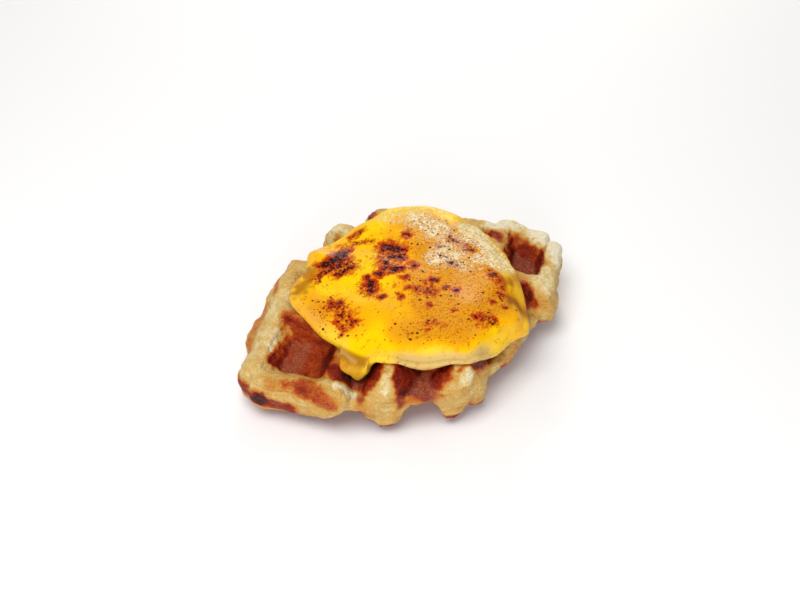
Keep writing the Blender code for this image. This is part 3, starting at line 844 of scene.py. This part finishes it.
def melted_surface(places, edge, top_share):
    """How far the slice's surface is raised at each place, and the values that its colours read, 0 to 1."""
    xs, ys, _ = places.T
    inset = np.where(top_share < 1.0, 0.0, distance_inside(edge[::CHEESE_EDGE_STEP], xs, ys))
    turns = turn_about_centre(xs, ys)
    swell = noise_at(places, SWELL_SIZE, seed=5)
    char, toast = torch_marks(places)
    shade, ledge_highlight = ledge_tones(places)
    folds, crusted, wave = creased_end(turns, inset)
    front = within_turn(turns, PALE_RIM_FROM, PALE_RIM_TO)
    near_edge = smoothstep(PALE_RIM_REACH + 0.8 * swell, 0.6, inset)
    start, end, radius = SCORCHED_MARGIN
    ragged = 0.9 * noise_at(places, MARGIN_RAGGED_SIZE, seed=3)
    margin = smoothstep(1.4, 0.2, distance_to_line(places[:, :2], start, end) / radius + ragged)
    blister = np.clip(sum_of_spots(BLISTERS, xs, ys) + 0.9 * crusted, 0.0, 1.0)
    right = DRIED_TOWARDS[0] * xs + DRIED_TOWARDS[1] * ys + DRIED_WANDER * swell
    dried = smoothstep(*DRIED_ALONG, right) * smoothstep(*DRIED_INSET, inset)
    dried = np.maximum(dried, sum_of_spots(GOLDEN_SPOTS, xs, ys))
    # Darker in the creases' valleys: painted shade
    crease_shade = (folds - 0.6 * crusted) * (0.3 + 0.7 * smoothstep(0.9, -0.9, wave))
    # Burns and the brown round them, pale rim, deeper gold, painted shade in the creases and past the ledge
    # with the brown margin, torn crust with a painted highlight, and cream flecks with painted glints
    values = {
        "char": char * top_share,
        "toast": toast * top_share,
        "rim": near_edge * (RIM_ELSEWHERE + (1.0 - RIM_ELSEWHERE) * front),
        "dried": dried * top_share,
        "painted_shade_and_margin": np.maximum(np.maximum(crease_shade, shade), MARGIN_TONE * margin),
        # Pale torn crust on the wave tops, and the crease's painted highlight
        "crust_and_highlight": np.maximum(crusted * smoothstep(-0.3, 0.8, wave), ledge_highlight),
        "blister": blister * top_share,
    }
    bubbly = noise_at(places, BUBBLE_SIZE, seed=6) + 0.5 * noise_at(places, 0.5 * BUBBLE_SIZE, seed=7)
    lift = SWELL_HEIGHT * swell + (BLISTER_HEIGHT * blister + CHAR_HEIGHT * char) * bubbly
    lift += sum_of_spots(BULGES, xs, ys) + FOLD_HEIGHT * folds * (wave - 0.4)
    lift -= (ROUND_DROP * front + CRUST_DROP * crusted) * np.clip(1.0 - inset / ROUND_REACH, 0.0, 1.0)**2
    return lift * top_share, values


def make_cheese(dough, material):
    """The slice, one closed shell: its top, its rounded rim and its underside."""
    graph = bpy.context.evaluated_depsgraph_get()
    rings, edge = slice_shell(BVHTree.FromObject(dough, graph))
    count = len(rings)
    places = rings.reshape(-1, 3)
    down_rim = (np.arange(count) - CHEESE_RINGS) / (0.5 * CHEESE_RIM_STEPS)
    top_share = np.repeat(np.clip(1.0 - down_rim, 0.0, 1.0), CHEESE_AROUND)
    lift, values = melted_surface(places, edge, top_share)

    # A grid whose X runs round the slice and whose Y runs from ring to ring; its sides meet and are welded
    bm = bmesh.new()
    bmesh.ops.create_grid(bm, x_segments=CHEESE_AROUND, y_segments=count - 1, size=0.5)
    layers = {name: bm.verts.layers.float.new(name) for name in values}
    for vert in bm.verts:
        column = round((vert.co.x + 0.5) * CHEESE_AROUND) % CHEESE_AROUND
        index = round((vert.co.y + 0.5) * (count - 1)) * CHEESE_AROUND + column
        x, y, h = places[index]
        vert.co = (arch(x, y, h + lift[index]) + LAYOUT_SHIFT) * MM
        for name, layer in layers.items():
            vert[layer] = values[name][index]
    bmesh.ops.remove_doubles(bm, verts=bm.verts, dist=WELD)
    bmesh.ops.recalc_face_normals(bm, faces=bm.faces)
    return new_piece("cheese_slice", bm, material)


# Materials

def new_material(name):
    material = bpy.data.materials.new(name)
    material.use_nodes = True
    return material, material.node_tree, material.node_tree.nodes["Principled BSDF"]


def add_node(tree, kind, inputs=None, stops=None, **settings):
    """Adds a node with its settings; each input gets a value or a link from another node's output."""
    made = tree.nodes.new(kind)
    for name, value in settings.items():
        setattr(made, name, value)
    for name, value in (inputs or {}).items():
        if isinstance(value, bpy.types.NodeSocket):
            tree.links.new(value, made.inputs[name])
        else:
            made.inputs[name].default_value = value
    for index, (place, color) in enumerate(stops or ()):
        element = made.color_ramp.elements[index] if index < 2 else made.color_ramp.elements.new(place)
        element.position = place
        element.color = color
    return made


def millimetres(tree):
    """The place on the object in millimetres, for patterns whose size is given in them."""
    place = add_node(tree, "ShaderNodeTexCoord").outputs["Object"]
    return add_node(tree, "ShaderNodeMapping", {"Vector": place, "Scale": (1.0 / MM,) * 3}).outputs[0]


def baked_dough():
    """Croissant dough baked in an iron: pale where it swelled freely, caramel brown, shiny in the cells."""
    material, tree, shader = new_material("baked_croissant_dough")
    in_mm = millimetres(tree)
    brown = add_node(tree, "ShaderNodeAttribute", attribute_name="brown").outputs["Fac"]
    glaze = add_node(tree, "ShaderNodeAttribute", attribute_name="glaze").outputs["Fac"]
    patch = add_node(
        tree, "ShaderNodeTexNoise", {"Vector": in_mm, "Scale": 1.0 / BAKE_PATCH_SIZE, "Detail": 5.0}
    ).outputs[0]
    grain = add_node(
        tree, "ShaderNodeTexNoise",
        {"Vector": in_mm, "Scale": 1.0 / GRAIN_SIZE, "Detail": 3.0, "Roughness": 0.65},
    ).outputs[0]
    streak_scale = (1.0 / STREAK_LENGTH, 1.0 / STREAK_LENGTH, 1.0 / STREAK_THICKNESS)
    in_streaks = add_node(tree, "ShaderNodeMapping", {"Vector": in_mm, "Scale": streak_scale}).outputs[0]
    leaves = add_node(
        tree, "ShaderNodeTexNoise", {"Vector": in_streaks, "Scale": 1.0, "Detail": 3.0}
    ).outputs[0]
    # The browning, broken up by patches, streaks and grain; taking away their mean keeps its level
    level = brown
    for pattern, weight in ((patch, 0.3), (leaves, 0.16), (grain, 0.42)):
        level = add_node(
            tree, "ShaderNodeMath", {0: pattern, 1: weight, 2: level}, operation="MULTIPLY_ADD"
        ).outputs[0]
    level = add_node(tree, "ShaderNodeMath", {0: level, 1: 0.44}, operation="SUBTRACT").outputs[0]
    bake = add_node(
        tree, "ShaderNodeValToRGB", {0: level},
        stops=(
            (0.0, srgb("#F6EACA")), (1.0, srgb("#400E04")), (0.12, srgb("#E8D094")), (0.25, srgb("#DAB264")),
            (0.38, srgb("#D29842")), (0.5, srgb("#C96C1E")), (0.62, srgb("#AE400E")), (0.8, srgb("#841A05")),
        ),
    ).outputs[0]
    # Caramelised butter in the cells: purple brown, with paler specks that are painted glints
    syrup_and_glints = add_node(
        tree, "ShaderNodeValToRGB", {0: grain},
        stops=((0.35, srgb("#823828")), (0.66, srgb("#D08A68")), (0.52, srgb("#A45438"))),
    ).outputs[0]
    share = add_node(tree, "ShaderNodeMath", {0: glaze, 1: 0.7}, operation="MULTIPLY").outputs[0]
    glazed = add_node(tree, "ShaderNodeMix", {0: share, 6: bake, 7: syrup_and_glints}, data_type="RGBA").outputs[2]
    tree.links.new(glazed, shader.inputs["Base Color"])
    # Butter left a thin sheen, in patches on the pale crust and all over the brown one
    buttered = add_node(
        tree, "ShaderNodeMath", {0: patch, 1: 1.2, 2: brown}, operation="MULTIPLY_ADD"
    ).outputs[0]
    dull = add_node(
        tree, "ShaderNodeMapRange", {0: buttered, 1: 0.75, 2: 1.3, 3: 0.6, 4: 0.27}
    ).outputs[0]
    tree.links.new(dull, shader.inputs["Roughness"])
    ripple = add_node(
        tree, "ShaderNodeTexNoise", {"Vector": in_mm, "Scale": 1.0 / RIPPLE_SIZE, "Detail": 5.0}
    ).outputs[0]
    bump = add_node(
        tree, "ShaderNodeBump", {"Height": ripple, "Strength": 0.9, "Distance": 0.0008}
    ).outputs[0]
    layered = add_node(
        tree, "ShaderNodeBump", {"Height": leaves, "Normal": bump, "Strength": 0.6, "Distance": 0.0006}
    ).outputs[0]
    fine = add_node(
        tree, "ShaderNodeBump", {"Height": grain, "Normal": layered, "Strength": 0.8, "Distance": 0.0005}
    ).outputs[0]
    tree.links.new(fine, shader.inputs["Normal"])
    shader.inputs["IOR"].default_value = 1.45
    shader.inputs["Specular IOR Level"].default_value = 0.25
    shader.inputs["Subsurface Weight"].default_value = 0.12
    shader.inputs["Subsurface Radius"].default_value = (1.0, 0.45, 0.2)
    shader.inputs["Subsurface Scale"].default_value = 0.0015
    return material


def melted_cheese():
    """Processed cheese melted under a torch: warm yellow, glossy, a little translucent, charred in spots."""
    material, tree, shader = new_material("melted_torched_cheese")
    in_mm = millimetres(tree)
    char, toast, rim, dried, painted_shade_and_margin, crust_and_highlight, blister = (
        add_node(tree, "ShaderNodeAttribute", attribute_name=name).outputs["Fac"]
        for name in ("char", "toast", "rim", "dried", "painted_shade_and_margin", "crust_and_highlight", "blister")
    )
    # Clouds of deeper gold, torn edges of the burns, and pores
    cloud = add_node(
        tree, "ShaderNodeTexNoise", {"Vector": in_mm, "Scale": 1.0 / CLOUD_SIZE, "Detail": 3.0}
    ).outputs[0]
    along_strokes = add_node(
        tree, "ShaderNodeMapping",
        {"Vector": in_mm, "Rotation": (0.0, 0.0, STROKE_TURN), "Scale": (STROKE_STRETCH, 1.0, 1.0)},
        vector_type="TEXTURE",
    ).outputs[0]
    torn = add_node(
        tree, "ShaderNodeTexNoise",
        {"Vector": along_strokes, "Scale": 1.0 / TEAR_SIZE, "Detail": 5.0, "Roughness": 0.7},
    ).outputs[0]
    pores = add_node(
        tree, "ShaderNodeTexNoise", {"Vector": in_mm, "Scale": 1.0 / CHEESE_PORE_SIZE, "Detail": 3.0}
    ).outputs[0]
    # Warm yellow where it flowed, deeper gold where the torch dried it
    golden = add_node(
        tree, "ShaderNodeMath", {0: dried, 1: 0.6, 2: cloud}, operation="MULTIPLY_ADD"
    ).outputs[0]
    color = add_node(
        tree, "ShaderNodeValToRGB", {0: golden},
        stops=((0.42, srgb("#FECC00")), (1.0, srgb("#E69B14")), (0.66, srgb("#F8B204"))),
    ).outputs[0]
    # The burns, torn and grainy: an amber fringe, a red brown halo and a black core
    broken = add_node(
        tree, "ShaderNodeMath", {0: pores, 1: 0.45, 2: torn}, operation="MULTIPLY_ADD"
    ).outputs[0]
    amber, halo, core = (
        add_node(tree, "ShaderNodeMath", {0: broken, 1: weight, 2: mark}, operation="MULTIPLY_ADD").outputs[0]
        for weight, mark in ((1.2, toast), (2.0, toast), (2.4, char))
    )
    # Cream flecks where the cheese blistered, partly painted glints
    bubbled = add_node(
        tree, "ShaderNodeMath", {0: blister, 1: 0.5, 2: pores}, operation="MULTIPLY_ADD"
    ).outputs[0]
    flecks_and_glints = add_node(
        tree, "ShaderNodeMath", {0: torn, 1: 0.8, 2: bubbled}, operation="MULTIPLY_ADD"
    ).outputs[0]
    mottle = add_node(tree, "ShaderNodeMapRange", {0: flecks_and_glints, 1: 1.22, 2: 1.5}).outputs[0]
    # Brown pores in the dried gold
    stipple = add_node(tree, "ShaderNodeMath", {0: pores, 1: dried}, operation="MULTIPLY").outputs[0]
    # Layers of colour from the lowest up, each with the values between which it fades in
    layers = [
        # The olive brown layer is painted shade in the crease valleys and past the ledge, with the scorched
        # margin; the pale layer after it is torn crust and the crease's painted highlight
        (rim, 0.0, 1.0, "#D6B468"), (painted_shade_and_margin, 0.0, 0.98, "#9C5C10"), (crust_and_highlight, 0.0, 1.6, "#DDBC78"),
        (stipple, 0.42, 0.9, "#A85A08"), (amber, 1.06, 1.7, "#E07A0C"), (halo, 1.58, 2.15, "#B83406"),
        # The cream flecks are partly painted glints
        (mottle, 0.0, 1.05, "#FAECC0"), (core, 2.2, 2.5, "#34080A"),
    ]
    # Freckles and soot dots, each shown where the cheese is burnt enough for it
    for spacing, share, mark, paint in (
        (FRECKLE_SPACING, 0.4, toast, "#9C4410"), (SOOT_SPACING, 0.14, char, "#3A1008"),
    ):
        burnt = add_node(
            tree, "ShaderNodeMath", {0: dried, 1: share, 2: mark}, operation="MULTIPLY_ADD"
        ).outputs[0]
        cells = add_node(tree, "ShaderNodeTexVoronoi", {"Vector": in_mm, "Scale": 1.0 / spacing})
        chance = add_node(tree, "ShaderNodeSeparateColor", {0: cells.outputs["Color"]}).outputs[0]
        chosen = add_node(tree, "ShaderNodeMath", {0: chance, 1: burnt}, operation="LESS_THAN").outputs[0]
        round_dot = add_node(
            tree, "ShaderNodeMath", {0: DOT_RADIUS, 1: cells.outputs["Distance"]}, operation="SUBTRACT"
        ).outputs[0]
        dot = add_node(tree, "ShaderNodeMath", {0: round_dot, 1: chosen}, operation="MULTIPLY").outputs[0]
        layers.append((dot, 0.02, 0.2, paint))
    for share, low, high, paint in layers:
        amount = add_node(tree, "ShaderNodeMapRange", {0: share, 1: low, 2: high}).outputs[0]
        color = add_node(
            tree, "ShaderNodeMix", {0: amount, 6: color, 7: srgb(paint)}, data_type="RGBA"
        ).outputs[2]
    tree.links.new(color, shader.inputs["Base Color"])
    bump = add_node(
        tree, "ShaderNodeBump", {"Height": mottle, "Strength": 0.7, "Distance": 0.0003}
    ).outputs[0]
    crust = add_node(
        tree, "ShaderNodeBump", {"Height": broken, "Normal": bump, "Strength": 0.35, "Distance": 0.0006}
    ).outputs[0]
    tree.links.new(crust, shader.inputs["Normal"])
    # Glossy where it flowed, duller where the torch dried and charred it
    parched = add_node(
        tree, "ShaderNodeMath", {0: dried, 1: 0.25, 2: char}, operation="MULTIPLY_ADD"
    ).outputs[0]
    dull = add_node(tree, "ShaderNodeMapRange", {0: parched, 1: 0.0, 2: 0.8, 3: 0.16, 4: 0.22}).outputs[0]
    tree.links.new(dull, shader.inputs["Roughness"])
    shader.inputs["IOR"].default_value = 1.45
    shader.inputs["Specular IOR Level"].default_value = 0.11
    shader.inputs["Subsurface Weight"].default_value = 0.1
    shader.inputs["Subsurface Radius"].default_value = (1.0, 0.6, 0.1)
    shader.inputs["Subsurface Scale"].default_value = 0.0015
    return material


def studio_floor():
    """Matte white studio sweep."""
    material, _, shader = new_material("matte_white_sweep")
    shader.inputs["Base Color"].default_value = srgb("#FBFBFB")
    shader.inputs["Roughness"].default_value = 0.8
    return material


# Studio

def add_camera():
    """The photograph's camera, from its angle and scale."""
    cos_up = math.cos(CAMERA_ELEVATION)
    back = Vector(
        (math.sin(CAMERA_AZIMUTH) * cos_up, -math.cos(CAMERA_AZIMUTH) * cos_up, math.sin(CAMERA_ELEVATION))
    )
    right = Vector((math.cos(CAMERA_AZIMUTH), math.sin(CAMERA_AZIMUTH), 0.0))
    up = back.cross(right)
    lens = bpy.data.cameras.new("photo_camera")
    lens.sensor_width = SENSOR_WIDTH
    lens.lens = SENSOR_WIDTH * PIXELS_PER_MM * CAMERA_DISTANCE / PICTURE[0]
    lens.shift_y = (CAMERA_AIM_ROW - PICTURE[1] / 2.0) / PICTURE[0]
    lens.clip_start = CLIP_START
    camera = bpy.data.objects.new("photo_camera", lens)
    place = (CAMERA_AIM + LAYOUT_SHIFT + back * CAMERA_DISTANCE) * MM
    camera.matrix_world = Matrix.Translation(place) @ Matrix((right, up, back)).transposed().to_4x4()
    bpy.context.scene.collection.objects.link(camera)
    bpy.context.scene.camera = camera


def add_light(name, place, size, power, color):
    lamp = bpy.data.lights.new(name, "AREA")
    lamp.shape = "DISK"
    lamp.size = size
    lamp.energy = power
    lamp.color = srgb(color)[:3]
    item = bpy.data.objects.new(name, lamp)
    item.location = place
    item.rotation_euler = (LIGHTS_AIM - Vector(place)).to_track_quat("-Z", "Y").to_euler()
    bpy.context.scene.collection.objects.link(item)


def add_studio():
    """A white floor, the lights and a pale room."""
    bm = bmesh.new()
    bmesh.ops.create_grid(bm, x_segments=2, y_segments=2, size=FLOOR_HALF)
    floor = new_piece("studio_floor", bm, studio_floor())
    for light in LIGHTS:
        add_light(*light)
    world = bpy.data.worlds.new("pale_room")
    world.use_nodes = True
    background = world.node_tree.nodes["Background"]
    background.inputs["Color"].default_value = srgb("#FFFFFF")
    background.inputs["Strength"].default_value = ROOM_LIGHT
    bpy.context.scene.world = world
    bpy.context.scene.view_settings.view_transform = "Standard"


def main():
    add_camera()
    add_studio()
    dough = make_dough(baked_dough())
    cheese = make_cheese(dough, melted_cheese())
    for piece, node in ((dough, "croffle"), (cheese, "cheese")):
        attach(piece, "root")
        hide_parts(node)


main()
